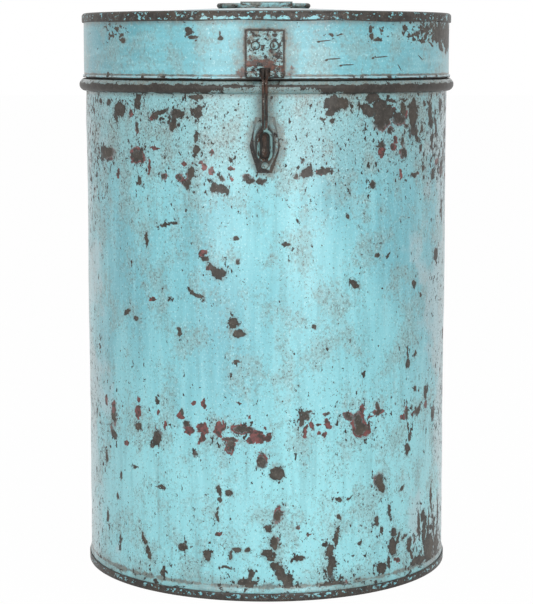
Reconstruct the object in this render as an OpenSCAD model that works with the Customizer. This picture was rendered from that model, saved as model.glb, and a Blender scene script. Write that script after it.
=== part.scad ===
// Lidded storage drum of painted sheet iron. The body is one rolled sheet with a swaged
// bead and a narrower neck. A slip-over lid turns on a hinge at the back, a wire link
// hooks over a staple at the front, and a wire bail folds down on the lid.
// Millimetres, +Z up, the floor at z = 0, the hasp at the front towards -Y.

/* [Drum] */
// Outside diameter of the body
body_d = 360; // [300:1:440]
// Height from the floor to the top of the bead
shoulder_h = 488.3; // [360:0.1:600]
// Thickness of the body sheet
sheet = 1.0; // [0.8:0.1:1.2]
// Height of the neck above the bead
neck_h = 24.7; // [18:0.1:28]
// Height of the bead
bead_h = 12.7; // [10:0.1:16]
// How far the bead stands out of the body
bead_out = 6.8; // [6.4:0.1:9]
// Wire rolled into the neck's edge
neck_wire_d = 3.0; // [2:0.1:4]
// Width of the side seam inside the body
seam_w = 8; // [5:0.5:14]
// Height of the flared foot of the body
foot_h = 12.4; // [11:0.1:18]
// How far the foot is flared
foot_flare = 0.8; // [0.4:0.1:1.2]

/* [Bottom] */
// Thickness of the bottom sheet
panel_t = 1.0; // [0.8:0.1:1.2]
// Height of the bottom panel's underside
panel_z = 9; // [5:0.5:14]
// Height of the fold around the foot
chime_h = 7.8; // [5:0.1:9]

/* [Lid] */
// Thickness of the lid sheet
lid_sheet = 0.9; // [0.7:0.1:1.1]
// Height of the lid from its hem to its rim
lid_h = 62.8; // [52:0.1:80]
// Height of the hem
hem_h = 3.0; // [2:0.1:5]
// How far the hem stands out
hem_out = 1.2; // [0.9:0.1:1.2]
// Height of the rim's fold
rim_h = 9.2; // [7:0.1:12]
// Depth of the top panel's edge below the rim
rim_recess = 3.0; // [2.6:0.1:4]
// Rise of the top panel's dome
dome_rise = 8.4; // [4:0.1:14]

/* [Hasp] */
// Width of the hasp plate
hasp_w = 35; // [28:0.5:46]
// Height of the hasp plate above its pin
hasp_h = 40; // [34:0.5:50]
// Thickness of the hasp plate
hasp_t = 1.2; // [1:0.1:1.5]
// Height of the hasp pin above the lid's hem
hasp_pin_up = 4.9; // [4.7:0.1:7]
// Diameter of the hasp pin
hasp_pin_d = 4.0; // [3:0.1:5]
// Width of the gap in the rolled edge for the link
notch_w = 10; // [9:0.5:14]
// Distance between the two hasp rivets
hasp_rivet_gap = 17.2; // [14:0.1:22]
// Height of the hasp rivets above the pin
hasp_rivet_up = 26; // [25:0.5:32]
// Wire of the link
link_wire_d = 2.6; // [2:0.1:3]
// Wire of the curls that hold the link on its pin
curl_wire_d = 3.0; // [2.8:0.1:3.4]
// Width of the link's eye, measured between the wires' centres
eye_w = 11.4; // [10.4:0.1:15]
// Play of the link's eye above and below the staple
eye_play = 1.0; // [0.8:0.1:2]

/* [Staple] */
// Drop of the staple's centre below the top of the bead
staple_drop = 59.3; // [50:0.1:90]
// Wire of the staple
staple_wire_d = 4.8; // [3.5:0.1:5]
// Height of the staple, over the wire
staple_h = 21.4; // [18:0.1:26]
// How far the staple stands out of the body
staple_out = 20; // [18:0.5:26]
// Length of the staple plate above the staple
staple_plate_up = 15.3; // [14:0.1:24]
// Length of the staple plate below the staple
staple_plate_down = 14.3; // [13.8:0.1:22]
// Widest width of the staple plate
staple_plate_w = 28; // [22:0.5:36]
// Thickness of the staple plate
staple_plate_t = 1.2; // [1:0.1:1.5]

/* [Handle] */
// Wire of the bail
bail_wire_d = 4.9; // [4:0.1:6]
// Width of the bail, over the wire
bail_w = 94; // [84:0.5:120]
// Reach of the bail from its pivot, over the wire
bail_reach = 50; // [40:0.5:70]
// Bend radius of the bail's corners, at the wire's centre
bail_corner = 12; // [8:0.5:13]
// Width of the saddle that holds the bail
saddle_w = 52; // [44:0.5:54]
// Length of each foot of the saddle
saddle_foot = 18; // [16:0.5:22]
// Thickness of the saddle
saddle_t = 1.2; // [1:0.1:1.5]
// How far the bail has slid to the left in its saddle
bail_slide = 3; // [0:0.5:3]
// Distance across the saddle's rivets, side to side
saddle_rivet_gap = 34; // [28:0.5:38]

/* [Hinge] */
// Width of the hinge
hinge_w = 42; // [36:0.5:56]
// Width of the lid's knuckle in the middle
knuckle_w = 14; // [12:0.5:18]
// Thickness of the hinge leaves
leaf_t = 1.5; // [1.2:0.1:1.8]
// Diameter of the hinge pin
hinge_pin_d = 4.0; // [3:0.1:5]
// Length of the body leaf below the bead
body_leaf_h = 51; // [46:0.5:60]
// Height of the lid leaf above the hem
lid_leaf_h = 48; // [46:0.5:52]
// Distance between the hinge's rivets, side to side
hinge_rivet_gap = 22; // [18:0.5:28]

/* [Rivets] */
// Diameter of a rivet's head
rivet_head_d = 6.6; // [6:0.1:7]
// Height of a rivet's head
rivet_head_h = 1.9; // [1.2:0.1:2.2]
// Diameter of a rivet's shank
rivet_d = 3.8; // [3:0.1:4.4]
// Thickness of a rivet's hammered tail
rivet_tail_h = 0.9; // [0.6:0.1:1]

/* [Clearances] */
// Between the neck and the inside of the lid
lid_gap = 1.1; // [1:0.1:1.6]
// Between sheets that are folded or riveted together
seam_gap = 0.1; // [0.1:0.05:0.2]
// Between pieces that rest on each other but come apart
rest_gap = 0.3; // [0.3:0.05:0.5]
// Around pins, shanks and wires in their holes
pin_gap = 0.05; // [0.05:0.01:0.1]

/* [Hidden] */
$fn = 48;

around = 144;                                   // sides of the big round shapes
body_r = body_d / 2;
corner = 0.5;                                   // small bevel on folded edges

// Body: bead, neck and foot
bead_r = bead_h / 2;
bead_z = shoulder_h - bead_r;
bead_c = body_r + bead_out - bead_r;            // radius of the bead's centre line
curl_out = neck_wire_d / 2 + pin_gap + sheet;   // outside radius of the neck's rolled edge
curl_in = neck_wire_d / 2 + pin_gap;
curl_r = body_r - curl_out;
curl_z = shoulder_h + neck_h - curl_out;
foot_r = body_r + foot_flare;
foot_z = panel_t + seam_gap;
foot_slope = 1.2;                               // height over which the foot flares out

// Bottom: the panel is folded down inside the foot and up around its outside
fold_in = foot_r - sheet - seam_gap;
fold_out = foot_r + seam_gap;
chime_r = fold_out + panel_t;

// Lid: skirt, hem, rim and domed panel
skirt_in = body_r + lid_gap;
skirt_out = skirt_in + lid_sheet;
hem_z = shoulder_h + rest_gap;
hem_r = skirt_out + hem_out;
rim_z = hem_z + lid_h;
rim_fold = skirt_out + lid_sheet - seam_gap;    // outside of the skirt's folded top
rim_r = rim_fold + seam_gap + lid_sheet;
rim_well = skirt_in - seam_gap;                 // outside of the panel's raised edge
dome_edge = rim_well - lid_sheet - 4;
dome_z = rim_z - rim_recess;
dome_top = dome_z + dome_rise;
dome_r = (pow(dome_edge, 2) + pow(dome_rise, 2)) / (2 * dome_rise);

// Hasp: the pin stands far enough out for the link to hang clear of the bead
plate_in = skirt_out + seam_gap;
hasp_pin_z = hem_z + hasp_pin_up;
hasp_y = -(body_r + bead_out + 0.6 + link_wire_d / 2);
hasp_knuckle_r = hasp_pin_d / 2 + pin_gap + hasp_t;
notch_top = hasp_pin_z + 6;
hasp_top = hasp_pin_z + hasp_h;
hasp_rivet_z = hasp_pin_z + hasp_rivet_up;
hasp_rivet_a = asin(hasp_rivet_gap / 2 / plate_in);
rivet_grip = seam_gap + hasp_t + lid_sheet + 2 * pin_gap;

// Staple and its plate
staple_z = shoulder_h - staple_drop;
staple_leg = (staple_h - staple_wire_d) / 2;    // from the centre to each leg
staple_front = body_r + staple_out;
staple_c = staple_front - staple_wire_d / 2 - staple_leg;
tail_r = body_r - sheet - 0.4 - staple_wire_d / 2;
tail_bend = staple_wire_d / 2 + 0.3;
tail_len = 3.4;
plate_r = body_r + seam_gap;
staple_rivet_in = 6.5;                          // rivets in from the plate's two ends
plate_up = staple_h / 2 + staple_plate_up;      // from the staple's centre to the plate's top
plate_down = staple_h / 2 + staple_plate_down;  // and down to its tip
staple_rivets_z = [staple_z + plate_up - staple_rivet_in,
    staple_z - plate_down + staple_rivet_in];
staple_hole = staple_wire_d / 2 + 0.1;

// Link: two legs side by side, an eye around the staple, a curl on each leg's top
leg_x = link_wire_d / 2 + 0.15;
curl_x = curl_wire_d / 2 + 0.25;
link_ring_r = hasp_pin_d / 2 + 0.2 + curl_wire_d / 2;
eye_x = eye_w / 2;
eye_in = eye_x - link_wire_d / 2;
eye_low_z = staple_z - staple_h / 2 - eye_play + eye_in;
eye_high_z = staple_z + staple_h / 2 + eye_play + 0.8 - eye_in;
leg_d = link_wire_d - 0.1;                      // the legs are drawn out a little thinner

// Handle: the bail's pivot bar lies across the middle of the lid
bail_r = bail_wire_d / 2;
bail_z = dome_top + rest_gap + bail_r;
bail_x = bail_w / 2 - bail_r;                   // wire's centre, each side
bail_far = bail_reach - 2 * bail_r;             // from pivot bar to far bar
saddle_z = dome_top + seam_gap / 2;
saddle_in = bail_r + rest_gap;
saddle_out = saddle_in + saddle_t;
saddle_rivet_y = (saddle_out + 1.4 + saddle_foot) / 2;

// Hinge: the pin stands out so that the body leaf passes over the bead
hinge_knuckle_r = hinge_pin_d / 2 + pin_gap + leaf_t;
leaf_face = hinge_knuckle_r - 0.06;             // knuckles swell a hair past the leaves
hinge_y = body_r + bead_out + rest_gap + leaf_face;
hinge_z = shoulder_h + 0.7;
leaf_mid = hinge_y - leaf_face + leaf_t / 2;    // the straight part of both leaves
leaf_gap = 0.4;                                 // end play between knuckles
body_plate_r = body_r + seam_gap;
lid_plate_r = skirt_out + seam_gap;
body_leaf_low = shoulder_h - bead_h - body_leaf_h;
body_leaf_top = body_leaf_low + 40;
lid_leaf_top = hem_z + lid_leaf_h;
lid_leaf_low = hem_z + 10;
hinge_pin_len = hinge_w + 3;
leaf_row = 18;                                  // between the two rows of body rivets
body_rivets_z = [body_leaf_low + 8, body_leaf_low + 8 + leaf_row];
lid_rivets_z = [lid_leaf_top - 7, lid_leaf_top - 18];
body_rivet_a = asin(hinge_rivet_gap / 2 / body_plate_r);
lid_rivet_a = asin(hinge_rivet_gap / 2 / lid_plate_r);

// ---- shared shapes -------------------------------------------------------------------

// Points along a round stretch of an outline
function arc(cx, cy, r, a0, a1, n = 10) =
    [for (i = [0 : n]) let (a = a0 + (a1 - a0) * i / n) [cx + r * cos(a), cy + r * sin(a)]];

// Height of a dome of the given top at a radius
function dome_at(top, r) = top - dome_r + sqrt(pow(dome_r, 2) - pow(r, 2));

// A closed outline of even thickness along a bent line
function side(path, d) =
    [for (i = [0 : len(path) - 1])
        let (a = path[max(i - 1, 0)], b = path[i], c = path[min(i + 1, len(path) - 1)])
        let (u = (i == 0 ? c - b : b - a) / norm(i == 0 ? c - b : b - a))
        let (v = (i == len(path) - 1 ? b - a : c - b) / norm(i == len(path) - 1 ? b - a : c - b))
        let (m = [-u[1] - v[1], u[0] + v[0]])
        b + m * d / (1 + u * v)];
function ribbon(path, t) =
    let (p = side(path, t / 2), q = side(path, -t / 2))
    concat(p, [for (i = [len(q) - 1 : -1 : 0]) q[i]]);

module turned(points) {
    rotate_extrude($fn = around) polygon(points);
}

// A sheet rolled around the drum's axis, centred on the front
module bent_sheet(r, t, z0, z1, w) {
    half = asin(w / 2 / r);
    rotate([0, 0, -90 - half])
        rotate_extrude(angle = 2 * half, $fn = around)
            translate([r, z0]) square([t, z1 - z0]);
}

// Places a child on the wall, its +Z pointing outwards; angle 0 is the front
module on_wall(angle, r, z) {
    rotate([0, 0, angle]) translate([0, -r, z]) rotate([90, 0, 0]) children();
}

// An outline drawn as [outwards, up] and drawn out along X at the front
module across_front(w) {
    rotate([90, 0, -90]) translate([0, 0, -w / 2]) linear_extrude(w) children();
}

module rounded_sheet(w, h, r) {
    translate([-w / 2, r]) square([w, h - 2 * r]);
    translate([-w / 2 + r, 0]) square([w - 2 * r, h]);
    for (x = [-1, 1], y = [r, h - r])
        translate([x * (w / 2 - r), y]) circle(r);
}

// Head above z = 0, grip below it, then the hammered tail
module rivet(grip) {
    head = [for (i = [0 : 6]) [rivet_head_d / 2 * sin(15 * i), rivet_head_h * cos(15 * i)]];
    rotate_extrude()
        polygon(concat(head, [
            [rivet_d / 2, 0], [rivet_d / 2, -grip], [rivet_head_d / 2 - 0.3, -grip],
            [rivet_head_d / 2 - 0.6, -grip - rivet_tail_h], [0, -grip - rivet_tail_h]]));
}

module rivet_hole() {
    translate([0, 0, -15]) cylinder(r = rivet_d / 2 + pin_gap, h = 30);
}

// A wire bent in the XY plane
module bend(c, r, d, a0, a1) {
    translate([c[0], c[1], 0]) rotate([0, 0, a0])
        rotate_extrude(angle = a1 - a0, $fn = around) translate([r, 0]) circle(d = d);
}

module run(p, q, d) {
    v = q - p;
    translate([p[0], p[1], 0]) rotate([0, 0, atan2(v[1], v[0])]) rotate([0, 90, 0])
        cylinder(d = d, h = norm(v));
}

module on_handed_walls(a, r, zs) {
    for (s = [-1, 1], z = zs) on_wall(s * a, r, z) children();
}

// ---- drum ----------------------------------------------------------------------------

module shell_outline() {
    inner = body_r - sheet;
    polygon(concat(
        [[foot_r, foot_z], [foot_r, foot_h - foot_slope], [body_r, foot_h],
            [body_r, shoulder_h - bead_h]],
        arc(bead_c, bead_z, bead_r, -90, 90, 16),
        [[body_r, shoulder_h]],
        arc(curl_r, curl_z, curl_out, 0, 285, 20),
        arc(curl_r, curl_z, curl_in, 285, 0, 16),
        [[inner, shoulder_h - sheet]],
        arc(bead_c, bead_z, bead_r - sheet, 90, -90, 16),
        [[inner, shoulder_h - bead_h + sheet], [inner, foot_h], [foot_r - sheet, foot_h - foot_slope], [foot_r - sheet, foot_z]]));
}

module side_seam() {
    low = max(foot_h, panel_z + panel_t) + 1;
    rotate([0, 0, 150])
        bent_sheet(body_r - sheet - 1.2, 1.7, low, bead_z - bead_r - 6, seam_w);
}

module body_shell() {
    color("mediumturquoise")
    difference() {
        union() {
            rotate_extrude($fn = around) shell_outline();
            side_seam();
        }
        for (z = staple_rivets_z) on_wall(0, body_r, z) rivet_hole();
        for (s = [-1, 1])
            on_wall(0, body_r, staple_z + s * staple_leg)
                translate([0, 0, -5]) cylinder(r = staple_hole, h = 10);
        on_handed_walls(180 - body_rivet_a, body_r, body_rivets_z) rivet_hole();
    }
}

module bottom_panel() {
    top = panel_z + panel_t;
    color("dimgray")
    turned([[0, panel_z], [fold_in - panel_t - corner, panel_z],
        [fold_in - panel_t, panel_z - corner], [fold_in - panel_t, corner],
        [fold_in - panel_t + corner, 0], [chime_r - corner, 0], [chime_r, corner],
        [chime_r, chime_h - 0.3], [chime_r - 0.3, chime_h], [fold_out + 0.3, chime_h],
        [fold_out, chime_h - 0.3], [fold_out, panel_t], [fold_in, panel_t],
        [fold_in, top - corner], [fold_in - corner, top], [0, top]]);
}

module neck_wire() {
    color("gray")
    rotate_extrude($fn = around) translate([curl_r, curl_z]) circle(d = neck_wire_d);
}

// ---- staple --------------------------------------------------------------------------

module staple_plate() {
    up = plate_up;
    down = plate_down;
    leaf = [[-9, up], [9, up], [staple_plate_w / 2 - 2, 8], [staple_plate_w / 2, 0],
        [staple_plate_w / 2 - 1.5, -7], [6.5, -down], [-6.5, -down],
        [1.5 - staple_plate_w / 2, -7], [-staple_plate_w / 2, 0], [2 - staple_plate_w / 2, 8]];
    color("cadetblue")
    difference() {
        intersection() {
            bent_sheet(plate_r, staple_plate_t, staple_z - down - 1, staple_z + up + 1,
                staple_plate_w + 6);
            translate([0, -body_r + 10, staple_z]) rotate([90, 0, 0])
                linear_extrude(30) polygon(leaf);
        }
        for (z = staple_rivets_z) on_wall(0, body_r, z) rivet_hole();
        for (s = [-1, 1])
            on_wall(0, body_r, staple_z + s * staple_leg)
                translate([0, 0, -5]) cylinder(r = staple_hole, h = 10);
    }
}

module staple() {
    color("saddlebrown")
    rotate([90, 0, -90]) translate([0, staple_z, 0]) {
        bend([staple_c, 0], staple_leg, staple_wire_d, -90, 90);
        for (s = [-1, 1]) {
            run([tail_r + tail_bend, s * staple_leg], [staple_c, s * staple_leg], staple_wire_d);
            bend([tail_r + tail_bend, s * (staple_leg + tail_bend)], tail_bend,
                staple_wire_d, s > 0 ? 180 : 90, s > 0 ? 270 : 180);
            run([tail_r, s * (staple_leg + tail_bend)],
                [tail_r, s * (staple_leg + tail_bend + tail_len)], staple_wire_d);
        }
    }
}

module staple_rivets() {
    grip = staple_plate_t + sheet + seam_gap + 2 * pin_gap;
    color("rosybrown")
    for (z = staple_rivets_z)
        on_wall(0, plate_r + staple_plate_t + pin_gap, z) rivet(grip);
}

// ---- hinge ---------------------------------------------------------------------------

// A knuckle along X at the hinge's pin, drawn at the back
module knuckle(x0, x1) {
    translate([x0, hinge_y, hinge_z]) rotate([0, 90, 0])
        cylinder(r = hinge_knuckle_r, h = x1 - x0);
}

module hinge_bore() {
    translate([-hinge_w, hinge_y, hinge_z]) rotate([0, 90, 0])
        cylinder(r = hinge_pin_d / 2 + pin_gap, h = 2 * hinge_w);
}

module across_back(w) {
    rotate([0, 0, 180]) across_front(w) children();
}

module hinge_body_leaf() {
    mid = body_plate_r + leaf_t / 2;
    step_z = shoulder_h - bead_h - 1;
    notch = knuckle_w + 2 * leaf_gap;
    color("cadetblue")
    difference() {
        union() {
            rotate([0, 0, 180])
                bent_sheet(body_plate_r, leaf_t, body_leaf_low, body_leaf_top, hinge_w);
            across_back(hinge_w)
                polygon(ribbon([[leaf_mid, hinge_z], [leaf_mid, step_z],
                    [mid, body_leaf_top - 4]], leaf_t));
            knuckle(-hinge_w / 2, hinge_w / 2);
        }
        hinge_bore();
        translate([-notch / 2, body_r, hinge_z - hinge_knuckle_r - leaf_gap])
            cube([notch, 30, 20]);
        on_handed_walls(180 - body_rivet_a, body_r, body_rivets_z) rivet_hole();
    }
}

module hinge_lid_leaf() {
    mid = lid_plate_r + leaf_t / 2;
    bend_z = hinge_z + hinge_knuckle_r + 1.5;
    shoulder = hinge_z + hinge_knuckle_r + leaf_gap;
    side_w = (hinge_w - knuckle_w) / 2;
    color("cadetblue")
    difference() {
        union() {
            rotate([0, 0, 180])
                bent_sheet(lid_plate_r, leaf_t, lid_leaf_low, lid_leaf_top, hinge_w);
            across_back(hinge_w)
                polygon(ribbon([[leaf_mid, hinge_z], [leaf_mid, bend_z],
                    [mid, lid_leaf_low + 4]], leaf_t));
            knuckle(-knuckle_w / 2, knuckle_w / 2);
        }
        hinge_bore();
        for (s = [-1, 1])
            translate([s * (knuckle_w / 2 + side_w) - side_w, body_r, shoulder - 20])
                cube([2 * side_w, 30, 20]);
        on_handed_walls(180 - lid_rivet_a, skirt_out, lid_rivets_z) rivet_hole();
    }
}

module hinge_pin() {
    pin_r = hinge_pin_d / 2;
    color("gray")
    translate([0, hinge_y, hinge_z]) rotate([0, 90, 0])
        rotate_extrude()
            polygon([[0, -hinge_pin_len / 2], [pin_r - 0.3, -hinge_pin_len / 2],
                [pin_r, 0.3 - hinge_pin_len / 2], [pin_r, hinge_pin_len / 2 - 0.3],
                [pin_r - 0.3, hinge_pin_len / 2], [0, hinge_pin_len / 2]]);
}

module hinge_body_rivets() {
    grip = leaf_t + sheet + seam_gap + 2 * pin_gap;
    color("rosybrown")
    on_handed_walls(180 - body_rivet_a, body_plate_r + leaf_t + pin_gap, body_rivets_z)
        rivet(grip);
}

module hinge_lid_rivets() {
    grip = leaf_t + lid_sheet + seam_gap + 2 * pin_gap;
    color("rosybrown")
    on_handed_walls(180 - lid_rivet_a, lid_plate_r + leaf_t + pin_gap, lid_rivets_z)
        rivet(grip);
}

// ---- lid -----------------------------------------------------------------------------

module skirt_outline() {
    fold_low = rim_z - rim_h + lid_sheet + seam_gap;
    top = rim_z - lid_sheet - rest_gap;
    polygon([[skirt_in, hem_z + corner], [skirt_in + corner, hem_z],
        [hem_r - corner, hem_z], [hem_r, hem_z + corner],
        [hem_r, hem_z + hem_h - corner], [hem_r - corner, hem_z + hem_h],
        [skirt_out, hem_z + hem_h], [skirt_out, fold_low], [rim_fold, fold_low],
        [rim_fold, top - 1.1], [rim_fold - 0.5, top], [skirt_in + 0.4, top],
        [skirt_in, top - 0.5]]);
}

module lid_skirt() {
    color("mediumturquoise")
    difference() {
        rotate_extrude($fn = around) skirt_outline();
        on_handed_walls(hasp_rivet_a, skirt_out, [hasp_rivet_z]) rivet_hole();
        on_handed_walls(180 - lid_rivet_a, skirt_out, lid_rivets_z) rivet_hole();
    }
}

// Traced from the middle of the dome out over the rim, under its fold and back
module lid_top_outline() {
    n = 8;
    over = [for (i = [0 : n]) [dome_edge * i / n, dome_at(dome_top, dome_edge * i / n)]];
    under = [for (i = [n : -1 : 0])
        [dome_edge * i / n, dome_at(dome_top - lid_sheet, dome_edge * i / n)]];
    well = rim_well - lid_sheet;
    arch = rim_z - lid_sheet;
    fold_z = rim_z - rim_h;
    polygon(concat(over,
        [[well - 1.2, dome_z], [well, dome_z + 1.2], [well, rim_z - 1.1],
            [well + 0.7, rim_z - 0.2], [well + 1.5, rim_z]],
        arc(rim_r - 1.8, rim_z - 1.8, 1.8, 90, 0, 5),
        [[rim_r, fold_z + corner], [rim_r - corner, fold_z], [skirt_out + seam_gap, fold_z],
            [skirt_out + seam_gap, fold_z + lid_sheet], [rim_r - lid_sheet, fold_z + lid_sheet],
            [rim_r - lid_sheet, arch - 1.3], [rim_r - lid_sheet - 0.5, arch],
            [rim_well + 0.4, arch], [rim_well, arch - 0.6], [rim_well, dome_z],
            [rim_well - 1.2, dome_z - lid_sheet]],
        under));
}

module handle_feet_holes() {
    for (x = [-1, 1], y = [-1, 1])
        translate([x * saddle_rivet_gap / 2, y * saddle_rivet_y, dome_top]) rivet_hole();
}

module lid_top() {
    color("darkslategray")
    difference() {
        rotate_extrude($fn = around) lid_top_outline();
        handle_feet_holes();
    }
}

// ---- handle --------------------------------------------------------------------------

module handle_saddle() {
    h = bail_z - saddle_z;
    foot = saddle_foot;
    color("cadetblue")
    difference() {
        intersection() {
            translate([0, 0, saddle_z]) across_front(saddle_w)
                polygon(concat(
                    [[foot, 0], [foot, saddle_t], [saddle_out + 1.2, saddle_t],
                        [saddle_out, saddle_t + 1]],
                    arc(0, h, saddle_out, 0, 180, 16),
                    [[-saddle_out, saddle_t + 1], [-saddle_out - 1.2, saddle_t],
                        [-foot, saddle_t], [-foot, 0], [-saddle_in, 0]],
                    arc(0, h, saddle_in, 180, 0, 16),
                    [[saddle_in, 0]]));
            translate([0, -foot, saddle_z - 1])
                linear_extrude(20) rounded_sheet(saddle_w, 2 * foot, 5);
        }
        handle_feet_holes();
    }
}

module handle_rivets() {
    sag = 0.25;                                 // the dome falls away under the feet
    grip = saddle_t + lid_sheet + seam_gap / 2 + sag + pin_gap;
    color("rosybrown")
    for (x = [-1, 1], y = [-1, 1])
        translate([x * saddle_rivet_gap / 2, y * saddle_rivet_y, saddle_z + saddle_t + pin_gap])
            rivet(grip);
}

module handle_bail() {
    color("cadetblue")
    translate([-bail_slide, 0, bail_z])
        for (s = [-1, 1]) {
            run([0, 0], [s * (bail_x - bail_corner), 0], bail_wire_d);
            run([0, bail_far], [s * (bail_x - bail_corner), bail_far], bail_wire_d);
            run([s * bail_x, bail_corner], [s * bail_x, bail_far - bail_corner], bail_wire_d);
            bend([s * (bail_x - bail_corner), bail_corner], bail_corner, bail_wire_d,
                s > 0 ? -90 : 180, s > 0 ? 0 : 270);
            bend([s * (bail_x - bail_corner), bail_far - bail_corner], bail_corner,
                bail_wire_d, s > 0 ? 0 : 90, s > 0 ? 90 : 180);
        }
}

// ---- hasp ----------------------------------------------------------------------------

module hasp_plate() {
    corner_r = 3;
    low = notch_top - 0.5;
    lean_z = hasp_pin_z + 8.5;                  // where the sheet leaves the skirt
    mid = plate_in + hasp_t / 2;
    out = -hasp_y;
    reach = norm([out - mid, lean_z - hasp_pin_z]);
    wrap = hasp_knuckle_r - hasp_t / 2 - 0.05;
    turn = atan2(out - mid, lean_z - hasp_pin_z) - asin(wrap / reach);
    strip = sqrt(pow(reach, 2) - pow(wrap, 2));
    tangent = [mid + strip * sin(turn), lean_z - strip * cos(turn)];
    color("cadetblue")
    difference() {
        union() {
            intersection() {
                bent_sheet(plate_in, hasp_t, low, hasp_top + 1, hasp_w + 6);
                translate([0, -body_r + 10, low - 10]) rotate([90, 0, 0])
                    linear_extrude(40) rounded_sheet(hasp_w, hasp_top - low + 10, corner_r);
            }
            across_front(hasp_w) polygon(ribbon([[mid, lean_z], tangent], hasp_t));
            translate([-hasp_w / 2, hasp_y, hasp_pin_z]) rotate([0, 90, 0])
                cylinder(r = hasp_knuckle_r, h = hasp_w);
        }
        translate([-hasp_w, hasp_y, hasp_pin_z]) rotate([0, 90, 0])
            cylinder(r = hasp_pin_d / 2 + pin_gap, h = 2 * hasp_w);
        translate([-notch_w / 2, hasp_y - 10, notch_top - 30]) cube([notch_w, 30, 30]);
        on_handed_walls(hasp_rivet_a, skirt_out, [hasp_rivet_z]) rivet_hole();
    }
}

module hasp_pin() {
    len = hasp_w + 1.2;
    pin_r = hasp_pin_d / 2;
    color("gray")
    translate([0, hasp_y, hasp_pin_z]) rotate([0, 90, 0])
        rotate_extrude()
            polygon([[0, -len / 2], [pin_r - 0.4, -len / 2], [pin_r, 0.4 - len / 2],
                [pin_r, len / 2 - 0.4], [pin_r - 0.4, len / 2], [0, len / 2]]);
}

module hasp_rivets() {
    color("rosybrown")
    on_handed_walls(hasp_rivet_a, plate_in + hasp_t + pin_gap, [hasp_rivet_z])
        rivet(rivet_grip);
}

module hasp_link() {
    color("dimgray")
    translate([0, hasp_y, 0]) rotate([90, 0, 0]) {
        bend([0, eye_low_z], eye_x, link_wire_d, 180, 360);
        bend([0, eye_high_z], eye_x, link_wire_d, 0, 180);
        for (s = [-1, 1]) {
            run([s * eye_x, eye_low_z], [s * eye_x, eye_high_z], link_wire_d);
            run([s * leg_x, eye_high_z + eye_x - 0.2], [s * leg_x, hasp_pin_z - link_ring_r + 0.4],
                leg_d);
            translate([s * curl_x, hasp_pin_z, 0]) rotate([0, 90, 0])
                rotate_extrude() translate([link_ring_r, 0]) circle(d = curl_wire_d);
        }
    }
}

body_shell();
bottom_panel();
neck_wire();
staple_plate();
staple();
staple_rivets();
hinge_body_leaf();
hinge_pin();
hinge_body_rivets();
lid_skirt();
lid_top();
hasp_plate();
hasp_pin();
hasp_rivets();
hinge_lid_leaf();
hinge_lid_rivets();
handle_saddle();
handle_rivets();
hasp_link();
handle_bail();
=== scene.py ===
import math

import bpy
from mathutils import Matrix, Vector, noise


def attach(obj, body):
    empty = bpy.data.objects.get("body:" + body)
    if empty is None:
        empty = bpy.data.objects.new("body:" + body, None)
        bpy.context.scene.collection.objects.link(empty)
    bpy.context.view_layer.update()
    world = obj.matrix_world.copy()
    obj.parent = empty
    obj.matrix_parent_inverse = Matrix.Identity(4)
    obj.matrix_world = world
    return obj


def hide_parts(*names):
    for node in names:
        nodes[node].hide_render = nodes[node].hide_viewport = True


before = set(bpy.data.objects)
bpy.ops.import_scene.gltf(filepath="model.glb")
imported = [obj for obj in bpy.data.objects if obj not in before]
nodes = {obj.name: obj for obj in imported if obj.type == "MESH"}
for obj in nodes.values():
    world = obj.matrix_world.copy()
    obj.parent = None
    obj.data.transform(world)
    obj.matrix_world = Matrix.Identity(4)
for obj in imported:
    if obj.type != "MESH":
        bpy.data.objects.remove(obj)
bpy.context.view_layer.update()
bpy.ops.object.select_all(action="DESELECT")
bpy.context.scene.view_settings.view_transform = "Standard"

# ---- Camera: a long lens in front of the hasp, so that the drum's sides stay almost upright.
# It stands level with the lid, a hair to the right of the hasp, and looks slightly down.
camera_far, camera_high = 1.9314, 0.516         # metres from the drum's axis, and above the floor
camera_turn, camera_dip = math.radians(0.47), math.radians(7.52)
bpy.ops.object.camera_add(
    location=(camera_far * math.sin(camera_turn), -camera_far * math.cos(camera_turn), camera_high),
    rotation=(math.radians(90) - camera_dip, 0, camera_turn),
)
camera = bpy.context.object
camera.data.lens = 114
camera.data.clip_end = 60
bpy.context.scene.camera = camera


# ---- Studio: a pale floor and three broad soft lamps, one to each side and one above.
# Floor and surround show white to the camera and in gloss, and light the drum only gently.
def tint(red, green, blue):
    """A paint chart colour, 0 to 255, as the linear colour that a shader takes."""
    shares = [c / 255 for c in (red, green, blue)]
    return (*[c / 12.92 if c < 0.04045 else ((c + 0.055) / 1.055) ** 2.4 for c in shares], 1)


class Field:
    """A value that varies over a surface; arithmetic on fields adds the material's Math nodes."""

    def __init__(self, coat, socket):
        self.coat = coat
        self.socket = socket

    def math(self, operation, *others):
        """Any operation of the Math node, on this field and up to two more values."""
        values = dict(enumerate((self, *others)))
        return self.coat.node("ShaderNodeMath", {"operation": operation}, values)

    def __add__(self, other):
        return self.math("ADD", other)

    def __sub__(self, other):
        return self.math("SUBTRACT", other)

    def __rsub__(self, other):
        return self.coat.node("ShaderNodeMath", {"operation": "SUBTRACT"}, {0: other, 1: self})

    def __mul__(self, other):
        return self.math("MULTIPLY", other)

    def __or__(self, other):
        return self.math("MAXIMUM", other)

    def __and__(self, other):
        return self.math("MINIMUM", other)

    def __abs__(self):
        return self.math("ABSOLUTE")

    __radd__ = __add__
    __rmul__ = __mul__

    def rise(self, low, high):
        """0 at low, 1 at high and beyond, with a smooth slope between; low may be the larger."""
        ends = {"Value": self, "From Min": low, "From Max": high}
        return self.coat.node("ShaderNodeMapRange", {"interpolation_type": "SMOOTHSTEP"}, ends)


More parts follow.
